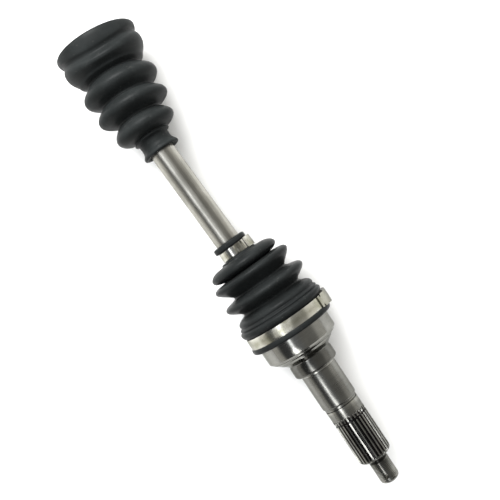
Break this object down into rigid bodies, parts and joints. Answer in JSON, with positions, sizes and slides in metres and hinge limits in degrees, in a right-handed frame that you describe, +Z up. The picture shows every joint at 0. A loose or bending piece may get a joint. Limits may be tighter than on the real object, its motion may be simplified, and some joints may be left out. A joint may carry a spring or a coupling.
{
  "type": "cv axle",
  "caption": "Half shaft with a ball-type constant-velocity joint and splined threaded stub at one end, a plain bar, a clamped bellows and a loose bellows.",
  "frame": {"origin": "on the stub's axis at the shoulder that seats against the wheel bearing", "axes": "+X along the stub axle towards the wheel, +Z up; the bar runs towards -X, bent 2.5 degrees towards -Y at rest"},
  "size_m": [0.4151, 0.0774, 0.0728],
  "materials": {
    "forged_steel": "machined forging, lightly oiled",
    "bar_steel": "polished along its length",
    "joint_steel": "ground",
    "ball_steel": "polished",
    "spring_steel": "blackened",
    "clamp_steel": "bright stainless strip",
    "rubber": "moulded, satin"
  },
  "bodies": {
    "hub_side": {"outer_race_stub": "forged_steel", "outboard_boot": "rubber", "large_clamp_band": "clamp_steel", "large_clamp_buckle": "clamp_steel"},
    "cage_side": {"ball_cage": "joint_steel"},
    "rolling_ball_1": {"ball_1": "ball_steel"},
    "rolling_ball_2": {"ball_2": "ball_steel"},
    "rolling_ball_3": {"ball_3": "ball_steel"},
    "rolling_ball_4": {"ball_4": "ball_steel"},
    "rolling_ball_5": {"ball_5": "ball_steel"},
    "rolling_ball_6": {"ball_6": "ball_steel"},
    "shaft_side": {"axle_bar": "bar_steel", "inner_race": "joint_steel", "inner_race_circlip": "spring_steel", "inner_race_stop_ring": "spring_steel", "small_clamp_band": "clamp_steel", "small_clamp_buckle": "clamp_steel", "inboard_stop_ring": "spring_steel", "inboard_circlip": "spring_steel"},
    "loose_boot": {"inboard_boot": "rubber"}
  },
  "joints": [
    {"name": "outer_joint_bend", "type": "hinge", "parent": "hub_side", "child": "shaft_side", "pos_m": [-0.03, 0, 0], "axis": [0, 0, 1], "range_deg": [-42.5, 37.5], "deforming": ["outboard_boot"]},
    {"name": "cage_bend", "type": "hinge", "parent": "hub_side", "child": "cage_side", "pos_m": [-0.03, 0, 0], "axis": [0, 0, 1], "range_deg": [-21.26, 18.76]},
    {"name": "ball_1_swing", "type": "hinge", "parent": "hub_side", "child": "rolling_ball_1", "pos_m": [-0.03, 0, 0], "axis": [0, 0, 1], "range_deg": [-21.26, 18.76]},
    {"name": "ball_2_swing", "type": "hinge", "parent": "hub_side", "child": "rolling_ball_2", "pos_m": [-0.03, 0, 0], "axis": [0, -0.866, 0.5], "range_deg": [-10.83, 9.55]},
    {"name": "ball_3_swing", "type": "hinge", "parent": "hub_side", "child": "rolling_ball_3", "pos_m": [-0.03, 0, 0], "axis": [0, -0.866, -0.5], "range_deg": [-9.55, 10.83]},
    {"name": "ball_4_swing", "type": "hinge", "parent": "hub_side", "child": "rolling_ball_4", "pos_m": [-0.03, 0, 0], "axis": [0, 0, -1], "range_deg": [-18.76, 21.26]},
    {"name": "ball_5_swing", "type": "hinge", "parent": "hub_side", "child": "rolling_ball_5", "pos_m": [-0.03, 0, 0], "axis": [0, 0.866, -0.5], "range_deg": [-9.55, 10.83]},
    {"name": "ball_6_swing", "type": "hinge", "parent": "hub_side", "child": "rolling_ball_6", "pos_m": [-0.03, 0, 0], "axis": [0, 0.866, 0.5], "range_deg": [-10.83, 9.55]},
    {"name": "loose_boot_slide", "type": "slide", "parent": "shaft_side", "child": "loose_boot", "axis": [0.999, 0.0436, 0], "range_m": [-0.045, 0.08]}
  ],
  "couplings": [
    {"joint": "cage_bend", "follows": "outer_joint_bend", "ratio": 0.5},
    {"joint": "ball_1_swing", "follows": "outer_joint_bend", "ratio": 0.5},
    {"joint": "ball_2_swing", "follows": "outer_joint_bend", "ratio": 0.2545},
    {"joint": "ball_3_swing", "follows": "outer_joint_bend", "ratio": -0.2545},
    {"joint": "ball_4_swing", "follows": "outer_joint_bend", "ratio": -0.5},
    {"joint": "ball_5_swing", "follows": "outer_joint_bend", "ratio": -0.2545},
    {"joint": "ball_6_swing", "follows": "outer_joint_bend", "ratio": 0.2545}
  ]
}
